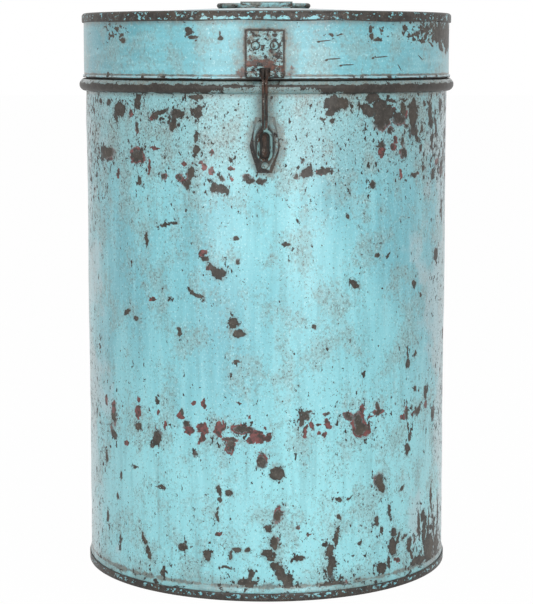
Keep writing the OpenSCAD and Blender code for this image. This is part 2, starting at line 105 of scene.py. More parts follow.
class Coat:
    """A material, or the world round the drum, being mixed as nodes."""

    def __init__(self, name, world=None):
        self.material = world or bpy.data.materials.new(name)
        self.material.use_nodes = True
        self.tree = self.material.node_tree
        self.shader = self.tree.nodes["Background" if world else "Principled BSDF"]
        self.place = self.node("ShaderNodeTexCoord", {}, {}, "Object")

    def plug(self, socket, value):
        """Links a field to a socket, or sets a plain value on it."""
        if isinstance(value, Field):
            self.tree.links.new(value.socket, socket)
        else:
            socket.default_value = value

    def node(self, kind, settings, sockets, out=0):
        """Adds any node, with its settings and sockets, and gives back one output as a field."""
        made = self.tree.nodes.new(kind)
        for name, value in settings.items():
            if name == "stops":
                while len(made.color_ramp.elements) < len(value):
                    made.color_ramp.elements.new(0.5)
                for stop, (spot, level) in zip(made.color_ramp.elements, value):
                    stop.position = spot
                    stop.color = (level, level, level, level)
            else:
                setattr(made, name, value)
        for name, value in sockets.items():
            self.plug(made.inputs[name], value)
        return Field(self, made.outputs[out])

    def blend(self, mask, under, over):
        """Lays one colour over another where the mask is 1."""
        return self.node("ShaderNodeMix", {"data_type": "RGBA"}, {0: mask, 6: under, 7: over}, 2)

    def axis(self, letter):
        """The place along X, across; Y, towards the back; or Z, up; in metres."""
        return self.node("ShaderNodeSeparateXYZ", {}, {"Vector": self.place}, letter)

    def grain(self, scale, stretch=(1, 1, 1), detail=3, rough=0.55, shift=0):
        """Cloudy noise with features of about 1/scale metres, drawn out where stretch is small."""
        spot = {"Vector": self.place, "Location": (shift, shift, shift), "Scale": stretch}
        at = self.node("ShaderNodeMapping", {}, spot)
        sizes = {"Vector": at, "Scale": scale, "Detail": detail, "Roughness": rough}
        return self.node("ShaderNodeTexNoise", {}, sizes)

    def finish(self, sockets):
        """Plugs values into the shader's own sockets and gives back the finished material."""
        for name, value in sockets.items():
            self.plug(self.shader.inputs[name], value)
        return self.material


def show_white(coat, glow, output, share):
    """Lets the camera and gloss see a share of glow in place of the surface that gives light."""
    seen = coat.node("ShaderNodeLightPath", {}, {}, "Is Camera Ray")
    mirrored = coat.node("ShaderNodeLightPath", {}, {}, "Is Glossy Ray")
    lit = Field(coat, coat.shader.outputs[0])
    white = coat.node(glow, {}, {"Color": (1, 1, 1, 1), "Strength": 1})
    shown = {0: (seen | mirrored) * share, 1: lit, 2: white}
    both = coat.node("ShaderNodeMixShader", {}, shown)
    coat.plug(coat.tree.nodes[output].inputs["Surface"], both)


bpy.ops.mesh.primitive_plane_add(size=40)
floor = bpy.context.object
floor.name = "studio_floor"
floor_coat = Coat("studio_floor")
pale = floor_coat.finish({"Base Color": tint(236, 236, 236), "Roughness": 0.9})
floor.data.materials.append(pale)
# a little of the floor's own shading is left in it, for the drum's faint shadow
show_white(floor_coat, "ShaderNodeEmission", "Material Output", 0.985)

surround = Coat("studio_surround", bpy.data.worlds.new("studio_surround"))
bpy.context.scene.world = surround.finish({"Color": (1, 1, 1, 1), "Strength": 0.36})
show_white(surround, "ShaderNodeBackground", "World Output", 1)

lamps_aim = Vector((0, 0, 0.22))
for lamp_name, spot, size, power in (
    ("lamp_left", (-1.1, -2.4, 0.45), 1.4, 23.5),
    ("lamp_right", (1.1, -2.4, 0.45), 1.4, 26.5),
    ("lamp_top", (0, -0.5, 2.4), 1.8, 16),
):
    bpy.ops.object.light_add(type="AREA", location=spot)
    lamp = bpy.context.object
    lamp.name = lamp_name
    lamp.data.size = size
    lamp.data.energy = power
    lamp.rotation_euler = (lamps_aim - lamp.location).to_track_quat("-Z", "Y").to_euler()


# ---- Body: one sheet of iron, rolled round and seamed, with a bead swaged out near its top,
# a narrower neck above it that the lid slips over, and a foot opened out for the bottom.
# It was brushed with turquoise over a red primer, which has chipped back to dark iron.
wall_out, wall_in = 180.0, 179.0        # millimetres, as are the outlines' radii and heights
foot_top, neck_low, neck_top = 13, 488.7, 510.45
bead_middle, bead_bulge, bead_hollow = (180.45, 481.95), 6.35, 5.35
curl_middle, curl_bulge, curl_hollow = (177.45, 510.45), 2.55, 1.55
staple_at = 429             # the middle of the staple plate
around = 280                # faces round the drum and the lid


def hoop_points(middle, bulge, first, last, count):
    """Points of a round edge, from one direction to another in degrees, 0 being outwards."""
    turns = [math.radians(first + (last - first) * i / count) for i in range(count + 1)]
    return [(middle[0] + bulge * math.cos(t), middle[1] + bulge * math.sin(t)) for t in turns]


def rows(radius, low, high, count):
    """Evenly spaced points up (or down) a straight wall, both ends left out."""
    return [(radius, low + (high - low) * i / count) for i in range(1, count)]


def rolled(name, outline, closed=True):
    """Sheet metal drawn round the axis: a hoop is pulled through each (radius, height)."""
    bpy.ops.object.select_all(action="DESELECT")
    radius, height = outline[0]
    at = (0, 0, height / 1000)
    bpy.ops.mesh.primitive_circle_add(vertices=around, radius=radius / 1000, location=at)
    piece = bpy.context.object
    piece.name = name
    bpy.ops.object.transform_apply(location=True, rotation=True, scale=True)
    bpy.ops.object.mode_set(mode="EDIT")
    bpy.ops.mesh.select_all(action="SELECT")
    for new_radius, new_height in outline[1:] + (outline[:1] if closed else []):
        lift = (0, 0, (new_height - height) / 1000)
        bpy.ops.mesh.extrude_edges_move(TRANSFORM_OT_translate={"value": lift})
        grow = new_radius / radius
        at = (0, 0, new_height / 1000)
        bpy.ops.transform.resize(value=(grow, grow, 1), center_override=at)
        radius, height = new_radius, new_height
    bpy.ops.mesh.select_all(action="SELECT")
    bpy.ops.mesh.remove_doubles(threshold=0.00002)
    bpy.ops.mesh.fill_holes(sides=0)
    bpy.ops.mesh.normals_make_consistent(inside=False)
    bpy.ops.object.mode_set(mode="OBJECT")
    return piece


def eased(value, low, high):
    """0 up to low, 1 from high on, and a smooth slope between them."""
    share = min(max((value - low) / (high - low), 0), 1)
    return share * share * (3 - 2 * share)


def clear_of_fittings(spot):
    """1 on open sheet, falling to 0 under the hasp and staple in front and the hinge behind."""
    x, y, z = (1000 * c for c in spot)
    staple_low, hinge_low, hinge_wider = 415, 440, 8
    beside = abs(x) if y < 0 else max(abs(x) - hinge_wider, 0)
    below = (staple_low if y < 0 else hinge_low) - z
    return max(eased(beside, 20, 48), eased(below, 25, 60))


def rumple(piece, swell, dents=()):
    """Moves a rolled sheet in and out as hand-rolled iron wavers, and presses dents into it.

    Each dent is an angle from the hasp, a height, a half width, a half length and a depth."""
    for vertex in piece.data.vertices:
        spot = vertex.co.copy()
        out = Vector((spot.x, spot.y, 0))
        if out.length < 0.001:
            continue
        out.normalize()
        slow = noise.noise(Vector((spot.x * 14, spot.y * 14, spot.z * 9)))
        quick = noise.noise(Vector((spot.x * 45 + 7, spot.y * 45, spot.z * 30)))
        push = swell(spot) * (slow + 0.4 * quick)
        turn = math.degrees(math.atan2(spot.x, -spot.y))
        for angle, height, wide, tall, deep in dents:
            away = math.hypot((turn - angle) * math.pi / wide, (spot.z * 1000 - height) / tall)
            push -= deep / 1000 * eased(1 - away, 0, 1)
        vertex.co = spot + out * push * clear_of_fittings(spot)


def shade(piece):
    """Smooth shading, except over the sheet's sharp folds."""
    bpy.ops.object.select_all(action="DESELECT")
    piece.select_set(True)
    bpy.context.view_layer.objects.active = piece
    bpy.ops.object.shade_smooth_by_angle(angle=math.radians(40))


body_outline = (
    # the outside, from the foot up to the neck's rolled edge
    [(179.8, 1.3), (180.5, 1.1), (180.8, 1.6), (180.8, 7.8), (180.8, 11.2), (180.35, 12.0)]
    + [(wall_out, foot_top)]
    + rows(wall_out, foot_top, 474, 112)
    + [(wall_out, 474.2), (wall_out, 475.4)]
    + hoop_points(bead_middle, bead_bulge, -90, 90, 14)
    + [(wall_out, neck_low)]
    + rows(wall_out, neck_low, neck_top, 6)
    + hoop_points(curl_middle, curl_bulge, 0, 262, 12)
    # the inside, back down to the foot
    + hoop_points(curl_middle, curl_hollow, 262, 0, 8)
    + [(wall_in, 509.8)]
    + rows(wall_in, 509.8, 489.3, 3)
    + [(wall_in, 489.0)]
    + hoop_points(bead_middle, bead_hollow, 80, -80, 8)
    + [(wall_in, 475.0)]
    + rows(wall_in, 475, 13.4, 40)
    + [(wall_in, 13.2), (179.8, 11.2), (179.8, 6)]
)
drum_wall = rolled("drum_wall", body_outline)


def wall_swell(spot):
    """How far the wall wavers, in metres: most on the open wall, least where others fit to it."""
    z = spot.z * 1000
    return 0.00075 * eased(z, foot_top + 1, 60) * eased(486 - z, 0, 40)


rumple(
    drum_wall,
    wall_swell,
    dents=(
        (-30, 330, 46, 70, 1.2),
        (24, 372, 40, 34, 1.0),
        (38, 214, 44, 60, 1.1),
        (-14, 118, 52, 44, 0.9),
        (-52, 190, 40, 80, 1.3),
        (62, 90, 40, 50, 1.2),
        (105, 300, 60, 60, 1.8),
        (-120, 240, 70, 50, 1.6),
        (150, 150, 50, 60, 1.5),
    ),
)
shade(drum_wall)

# the seam inside: the two edges of the sheet hooked together and hammered flat
seam_turn = math.radians(150)
seam_long, seam_round = 0.448, 0.0003
seam_middle = (0, -0.1784, 0.245)
bpy.ops.object.select_all(action="DESELECT")
bpy.ops.mesh.primitive_cube_add(size=1)
seam = bpy.context.object
seam.name = "drum_seam"
bpy.ops.object.mode_set(mode="EDIT")
bpy.ops.mesh.select_mode(type="EDGE")
bpy.ops.mesh.select_all(action="SELECT")
bpy.ops.transform.resize(value=(0.008, 0.0012, seam_long), center_override=(0, 0, 0))
bpy.ops.mesh.bevel(offset=seam_round, segments=2)
bpy.ops.mesh.select_all(action="DESELECT")
bpy.ops.object.mode_set(mode="OBJECT")
for edge in seam.data.edges:
    foot, head = (seam.data.vertices[i].co for i in edge.vertices)
    edge.select = abs(head.z - foot.z) > seam_long * 0.9
bpy.ops.object.mode_set(mode="EDIT")
bpy.ops.mesh.subdivide(number_cuts=70)
bpy.ops.mesh.select_mode(type="VERT")
bpy.ops.object.mode_set(mode="OBJECT")
for vertex in seam.data.vertices:
    blow = noise.noise(Vector((vertex.co.x * 200, 1, vertex.co.z * 80)))
    vertex.co.x *= 1 + 0.1 * noise.noise(Vector((4, 2, vertex.co.z * 45)))
    vertex.co.y += 0.0002 * blow if vertex.co.y > 0 else 0
bpy.ops.object.mode_set(mode="EDIT")
bpy.ops.mesh.select_all(action="SELECT")
bpy.ops.transform.translate(value=seam_middle)
bpy.ops.transform.rotate(value=-seam_turn, orient_axis="Z", center_override=(0, 0, 0))
bpy.ops.object.mode_set(mode="OBJECT")
shade(seam)

# Chips through to the iron. Each is an angle from the hasp (degrees, + to its right), then its
# height, width and length (mm) and its lean (degrees). Smaller chips come from the coat itself.
bare_chips = (
    # under the bead
    (-62, 467, 8, 6, 0), (-56, 467, 6, 6, 0), (-50, 460, 19, 13, 0), (-52, 452, 5, 9, 12),
    (-41.5, 468, 10, 12, 0), (-32.5, 459, 15, 4, 8), (-34.5, 455, 8, 7, 30),
    (-26.8, 457, 17, 9, 0), (-28.3, 448, 8, 13, -8), (-20.7, 472, 14, 4.5, 0),
    (-19.8, 460, 9, 12, -10), (-41.7, 444, 5, 11, 12), (-20.6, 436, 4, 11, 0),
    (21.3, 467, 26, 12, 0), (23.5, 469, 12, 6, 20), (19.5, 459, 9, 8, 0), (20.3, 451, 6, 5, 0),
    (17.4, 453, 5, 4, 0), (33.5, 471, 17, 9, 10), (31.9, 460, 15, 9, -35),
    (36.4, 459, 18, 24, 8), (37, 449, 20, 14, 0), (40.8, 468, 14, 4, 0), (46.8, 469, 9, 3, 0),
    (51, 456, 14, 27, 0), (44, 452, 17, 11, 0), (51.4, 440, 12, 11, 15), (61, 455, 8, 24, 0),
    (39.6, 457, 12, 14, 0), (46, 461, 8, 12, 10), (40.6, 441, 5, 6, 0), (48, 445, 8, 4, 0),
    (53.5, 432, 6, 5, 0), (56, 441, 5, 7, 0), (57.5, 464, 6, 7, 0), (55, 423, 5, 6, 0),
    (66, 440, 7, 18, 0), (70, 462, 9, 14, 0), (63, 428, 6, 14, 0),
    # shoulder height
    (-57.8, 418, 25, 12, 0), (-41.7, 417, 18, 13, 0), (-40.7, 394, 6, 10, 0),
    (-31.6, 400, 7, 6, 0), (-20.7, 424, 6.5, 9, 0), (-22.4, 403, 7, 15, -14),
    (-23.8, 393, 9, 9, 0), (-25.8, 398, 6, 6, 0), (-13, 399, 4.5, 7, 10),
    (-13.8, 389, 16, 8, 0), (-15, 391, 7, 9, 0), (-11.8, 387.5, 9, 5, 0),
    (-5.6, 401, 6, 6, 0), (-4, 397, 9, 6, -20), (-1.4, 395, 8, 5, 0),
    (46.3, 420, 10, 9, 0), (37, 427, 7, 9, 0), (45.8, 430, 5, 8, 0), (36, 427, 9, 3, 0),
    (12.3, 404, 11.5, 10, 10), (17.2, 404, 14, 5.5, 6), (18.6, 405.5, 6, 7, 0),
    (9.2, 401, 5, 4, 0), (11, 415, 3.5, 3.5, 0), (33.7, 391, 8, 6.5, -25),
    (52, 398, 14, 3, 0), (63.5, 396, 8, 9, 0), (57, 404, 5, 4, 0), (72, 398, 10, 7, 0),
    # the quieter middle
    (-31.5, 354, 12, 3.2, 6), (-29, 356, 12, 2.4, -8), (-38.6, 339, 4.5, 13, 0),
    (-8.5, 344, 6, 4, 0), (-18, 324, 7, 5, 0), (-15.8, 316, 13, 7, -35), (-13.6, 311, 14, 10, 0),
    (-8, 322, 4, 6, 0), (5.9, 339, 7.5, 3, 0), (25.8, 362, 4, 6, 0), (35.8, 325, 6, 5, 0),
    (40, 324, 4, 3.5, 0), (67.5, 318, 11, 12, 0), (73, 361, 6, 20, 0), (27.7, 299.5, 15, 5, -28),
    (52.5, 292, 6, 7, 0), (56, 281, 5, 4, 0), (14.8, 261.5, 4, 6, 0), (-9.4, 265, 9, 12, 0),
    (-20.6, 290, 14, 4.5, -28), (-29.5, 283.5, 4, 4, 0), (-47, 267, 10, 4, 20), (-43, 263, 6, 4, 0),
    (-26.5, 254, 5, 9, 0), (-7.6, 255, 11, 7, 0), (-8.5, 228.5, 6.5, 3, 0),
    (49.3, 217, 8, 9, 0), (49.3, 227, 2.5, 18, 0), (53, 226, 4, 5, 0), (53, 191, 4.5, 7, 0),
    # the band a third of the way up
    (-55.3, 165, 9, 20, 0), (-42.5, 158, 8, 7, 0), (-55.3, 146, 13, 7, -48),
    (-34.8, 150, 10, 14, 8), (-36.6, 142.5, 8, 4, 20), (-34.8, 186.5, 4, 6, 0),
    (-26, 177, 4, 9, 0), (-24.2, 166, 8, 9, 0), (-21.6, 139, 5, 5, 0), (-10.8, 155, 14, 4.5, 0),
    (-10.6, 148, 7.5, 12, 0), (-6.8, 165, 20, 8, -6), (-0.9, 134.5, 10, 12, 0),
    (12.1, 178, 9, 9, 0), (13.4, 181, 6, 3, 0), (10.8, 172, 5, 9, 0), (18.7, 178, 6, 2, 0),
    (29.2, 168, 14, 17, 12), (30.2, 161, 15, 15, -12), (26.3, 174, 12, 7, -24),
    (36.5, 175, 13, 5, 0), (36.5, 180, 4.5, 10, 0), (48.8, 169, 4, 13, 0), (54.5, 169, 14, 6, 28),
    (50.5, 145, 5.5, 9, 0), (49.6, 154, 2.2, 12, 10), (49.2, 133, 7, 12, -8),
    (3.5, 123.6, 11.5, 15, 0), (-60, 120, 7, 12, 0), (60, 184, 6, 16, 0), (66, 160, 8, 14, 0),
    # down to the foot
    (37, 109, 13, 12, 0), (38.2, 101, 9, 13, 20), (-33.4, 104, 9, 4.5, 0), (-35, 102, 5, 2, 0),
    (-14, 105, 5, 11, 10), (-10.7, 103.5, 8, 5.5, 0), (-13.9, 96, 5.5, 3.5, 0),
    (-14.5, 87, 3, 4, 0), (-14.4, 79, 4, 10, 12), (-25.5, 47, 9, 7, 0),
    (-17.6, 43, 9, 10, 0), (-10.2, 43, 5, 8, -20),
    (-8.6, 49.5, 8, 6, 0), (-5.4, 49, 6, 5, 0), (-40.5, 50, 3.5, 14, 24), (-38.6, 36, 5, 14, 24),
    (-33, 21.5, 5, 10, 0), (-5.4, 17.5, 20, 8, 0), (-4.4, 25, 5, 13, 8), (-11.8, 31, 11, 3, 0),
    (3.8, 83, 8.5, 15, -14), (1, 70, 7, 8, 0), (2.9, 56, 8.5, 13, 12), (0.9, 46, 10, 8, 0),
    (1.9, 41, 9, 5, 0), (10.5, 41.5, 12, 4.5, 0), (3.4, 34.5, 10, 7, 0), (5, 26, 9, 17, 20),
    (6.8, 19, 12, 13, 25), (9.8, 70.5, 4, 4, 0), (13.2, 62, 3.5, 3, 0), (19.8, 46.5, 7, 12, 0),
    (20.4, 30, 8, 25, -4), (21.9, 58.5, 4, 21, -6), (22.8, 78, 5, 6, 30), (22.7, 94.5, 6, 5, -20),
    (26, 95.5, 6, 3.5, 20), (47, 96.5, 9, 4, 20), (41.6, 76, 4.5, 15, 6), (36.3, 69, 6, 10, 0),
    (37.9, 58.5, 4.5, 8, 0), (43.6, 54, 9, 10, 10), (45.6, 48, 4, 14, -24), (43, 40, 11, 18, 14),
    (41.4, 26, 4, 14, 4), (30, 50, 6, 4, 0), (48.6, 47, 9, 3, 20),
    (51, 38, 7, 14, -12), (56.8, 54, 5, 26, 0), (59.5, 62, 8, 12, 0), (60.4, 46, 8, 30, -10),
    (64, 26, 26, 32, 0), (71, 24, 18, 24, 0), (63.5, 52, 4, 26, -8), (68, 46, 4, 24, 8),
    (66, 74, 5, 30, 4), (73, 60, 4, 24, 0), (52.5, 27, 4, 12, 30), (54, 40, 3, 9, 0),
    (38.5, 22, 12, 11, 20), (21, 14, 26, 5, 0), (57, 18, 30, 9, 0), (-53.3, 84, 5, 7, 0),
    (-51, 105, 3.5, 8, 0), (-44, 118, 5, 4, 0), (-60, 60, 4, 12, 0), (-52, 40, 4, 14, 0),
)
# Chips that stopped at the red primer, given in the same way.
primer_chips = (
    (-44.5, 457, 5, 9, 0), (-35.4, 453.5, 6, 4, 20), (41.6, 460, 6, 4, 0), (47.4, 455, 5, 6, 0),
    (42.6, 432, 5, 9, 0), (41.7, 425, 8, 8, 20), (37, 421, 9, 8, 20), (67, 408, 12, 8, 0),
    (-34.6, 424, 13, 3, 0), (-43.6, 413, 6, 8, 0), (-37, 407, 4.5, 14, -8), (-15.7, 423, 4.5, 6, 0),
    (-24.5, 412, 5.5, 5, 0), (-19.4, 413, 5, 5, 0), (-18.2, 409, 6, 8, 25),
    (-15.8, 405.5, 5.5, 7, 0), (-9.9, 408, 7.5, 3, -8), (-9.9, 397.5, 4, 4, 0),
    (-51.3, 399, 5, 9, 0), (44.8, 399.5, 4, 10, 0),
    (-18.5, 329, 7, 6, 0), (-17, 315, 7, 5, 0), (-35.6, 283, 9, 4.5, 0), (-55.5, 172, 7, 14, 0),
    (-42.5, 173, 9, 14, 0), (-48, 139.5, 6, 4, 0), (-31.7, 164.5, 4, 10, 0), (-42.7, 185, 4, 5, 0),
    (-34.3, 175, 4, 5, 0), (-26.3, 174, 11, 6, 0), (-23.2, 161, 10, 8, 20), (-18.9, 163, 13, 11, 0),
    (-19.3, 154, 6, 10, -20), (-18.7, 187, 7, 9, 15), (-21.8, 187, 4, 6, 0),
    (-13.9, 164, 7.5, 14, 0), (-12.6, 168, 3, 11, 0), (-7.6, 189, 6, 2, 0),
    (-4.8, 176, 3.5, 3.5, 0), (-3, 160, 13, 9, 0),
    (-1.2, 156, 12, 9, 20), (-4.2, 154, 9, 7, 0), (1.2, 158, 5, 9, 0), (0.2, 166, 5, 3, 0),
    (-13.9, 64, 10, 4, 0), (12.2, 163, 4, 14, -14), (14, 167, 4, 10, 10), (15.9, 168, 6, 4, 0),
    (19.2, 168, 6, 13, 14), (18, 158, 4, 5, 0), (16.4, 160, 4, 4, 0), (30.9, 178, 5.5, 13, 0),
    (32.6, 158.5, 6, 6, 0), (33.6, 171.5, 7, 3, 0), (46.8, 166, 8, 5, 0), (51.8, 167, 7, 3, 20),
    (60, 172, 6, 8, 0), (45, 26, 8, 5, 0), (-60, 176, 7, 13, 0),
)
arc = 0.18                  # metres round the wall for each radian


def nearest_chip(coat, flat, chips):
    """The nearest chip's distance in its own size: 0 at its middle and 1 on its edge."""
    nearest = None
    for angle, height, wide, tall, lean in chips:
        across, up = math.radians(angle) * arc, height / 1000
        by_wide, by_tall = 2000 / wide, 2000 / tall         # metres to half widths and lengths
        if lean:
            c, s = math.cos(math.radians(lean)), math.sin(math.radians(lean))
            ends = []
            for u, v in ((c * by_wide, s * by_wide), (-s * by_tall, c * by_tall)):
                line = {0: flat, 1: (u, v, -u * across - v * up)}
                along = coat.node("ShaderNodeVectorMath", {"operation": "DOT_PRODUCT"}, line, 1)
                ends.append(along)
            inside = coat.node("ShaderNodeCombineXYZ", {}, {"X": ends[0], "Y": ends[1]})
        else:
            line = {0: flat, 1: (by_wide, by_tall, 0), 2: (-by_wide * across, -by_tall * up, 0)}
            inside = coat.node("ShaderNodeVectorMath", {"operation": "MULTIPLY_ADD"}, line)
        away = coat.node("ShaderNodeVectorMath", {"operation": "LENGTH"}, {0: inside}, "Value")
        nearest = away if nearest is None else nearest & away
    return nearest


def turned(coat):
    """The angle round the drum's axis from the hasp, in radians, + to the hasp's right."""
    return coat.axis("X").math("ARCTAN2", coat.axis("Y") * -1)


def unrolled(coat):
    """That angle, and the sheet laid flat: the way round it and the height, in metres."""
    turn = turned(coat)
    laid = {"X": turn * arc, "Y": coat.axis("Z"), "Z": 1}
    return turn, coat.node("ShaderNodeCombineXYZ", {}, laid)


def ragged(coat, flat, amount, scale, shift=0):
    """The same place pushed about by noise, so that an edge drawn on it breaks up."""
    across = (coat.grain(scale, detail=3, rough=0.6, shift=shift) - 0.5) * amount
    up = (coat.grain(scale, detail=3, rough=0.6, shift=shift + 50) - 0.5) * amount
    push = coat.node("ShaderNodeCombineXYZ", {}, {"X": across, "Y": up})
    return coat.node("ShaderNodeVectorMath", {"operation": "ADD"}, {0: flat, 1: push})


def weather(coat, bare, primer, grime, film=None, dull=0.0, iron=(51, 47, 41), relief=1.0,
            drawn=(1, 1, 0.09), sheen_and_dust=None, fresh=None, grit=0.75, dark_iron_and_shade=None,
            paints=((110, 182, 194), (134, 205, 214)), under=((80, 32, 31), (114, 47, 43))):
    """Brushed turquoise over red primer over iron.

    bare, primer and grime say where the iron, the primer and dirt show; dull and fresh where the
    paint has greyed or kept its colour; sheen_and_dust where it is lightened, as painted sheen and
    highlight on the wall and hem and as dust on the dome; dark_iron_and_shade where the iron is
    darker, mostly as painted shade.
    film is where the paint stands proud, drawn the way it was brushed, grit how peppered it is."""
    cloud = coat.grain(7, (1, 1, 0.6), 3, 0.55)
    brush = coat.grain(110, drawn, 3, 0.6, 3)
    blot = coat.grain(38, (1, 1, 0.8), 4, 0.62, 5)
    speck = coat.grain(330, (1, 1, 0.8), 3, 0.7, 9)
    pepper = coat.grain(640, (1, 1, 0.8), 2, 0.65, 19)
    paint = coat.blend(cloud.rise(0.36, 0.62), tint(*paints[0]), tint(*paints[1]))
    if fresh is not None:
        paint = coat.blend(fresh, paint, tint(156, 224, 230))
    paint = coat.blend(brush.rise(0.48, 0.7) * 0.35, paint, tint(104, 160, 166))
    paint = coat.blend(brush.rise(0.5, 0.3) * 0.35, paint, tint(160, 218, 224))
    paint = coat.blend(blot.rise(0.47, 0.64) * 0.45 + dull, paint, tint(136, 166, 166))
    worn = speck.rise(0.5, 0.62) * blot.rise(0.36, 0.58)
    paint = coat.blend(worn * 0.55, paint, tint(104, 122, 118))
    # painted glints: fine pale specks over the paint, standing in for highlights
    paint = coat.blend(pepper.rise(0.4, 0.33) * 0.5, paint, tint(190, 230, 234))
    # painted sheen and highlight on the wall and hem, dust on the dome: the paint lightened to pale
    # grey
    if sheen_and_dust is not None:
        paint = coat.blend(sheen_and_dust, paint, tint(182, 200, 205))
    peppered = (pepper + blot * 0.25 + dull * 0.12).rise(0.745, 0.8)
    paint = coat.blend(peppered * grit, paint, tint(76, 80, 74))
    # dirt over the paint, then the red primer, then the iron
    dirt = coat.blend(speck.rise(0.4, 0.6), tint(70, 59, 48), tint(112, 102, 87))
    colour = coat.blend(grime, paint, dirt)
    red = coat.blend(speck.rise(0.42, 0.62), tint(*under[0]), tint(*under[1]))
    colour = coat.blend(primer, colour, red)
    pits = coat.grain(170, (1, 1, 0.8), 4, 0.7, 13)
    lighter = [c + 24 for c in iron]
    metal = coat.blend(pits.rise(0.4, 0.64), tint(*iron), tint(*lighter))
    metal = coat.blend(blot.rise(0.5, 0.64) * 0.4, metal, tint(84, 73, 59))
    metal = coat.blend(pepper.rise(0.62, 0.68) * 0.5, metal, tint(136, 126, 116))
    # painted shade: the iron darkened further, as at the chips' edges, over the bead, round the
    # hasp plate and under the hem
    if dark_iron_and_shade is not None:
        metal = coat.blend(dark_iron_and_shade * 0.6, metal, tint(32, 27, 24))
    colour = coat.blend(bare, colour, metal)
    film = 1 - (bare | primer * 0.75) if film is None else film
    height = film * 0.6 + brush * 0.12 + speck * 0.12 + pits * 0.2
    steps = {"Strength": 0.55 * relief, "Distance": 0.0007, "Height": height}
    return coat.finish({
        "Base Color": colour,
        "Roughness": (0.42 + blot * 0.14 + bare * 0.16) | grime * 0.7,
        "Metallic": bare * 0.3,
        "Coat Weight": 0.65 - bare * 0.45,
        "Coat Roughness": 0.22,
        "Normal": coat.node("ShaderNodeBump", {}, steps),
    })


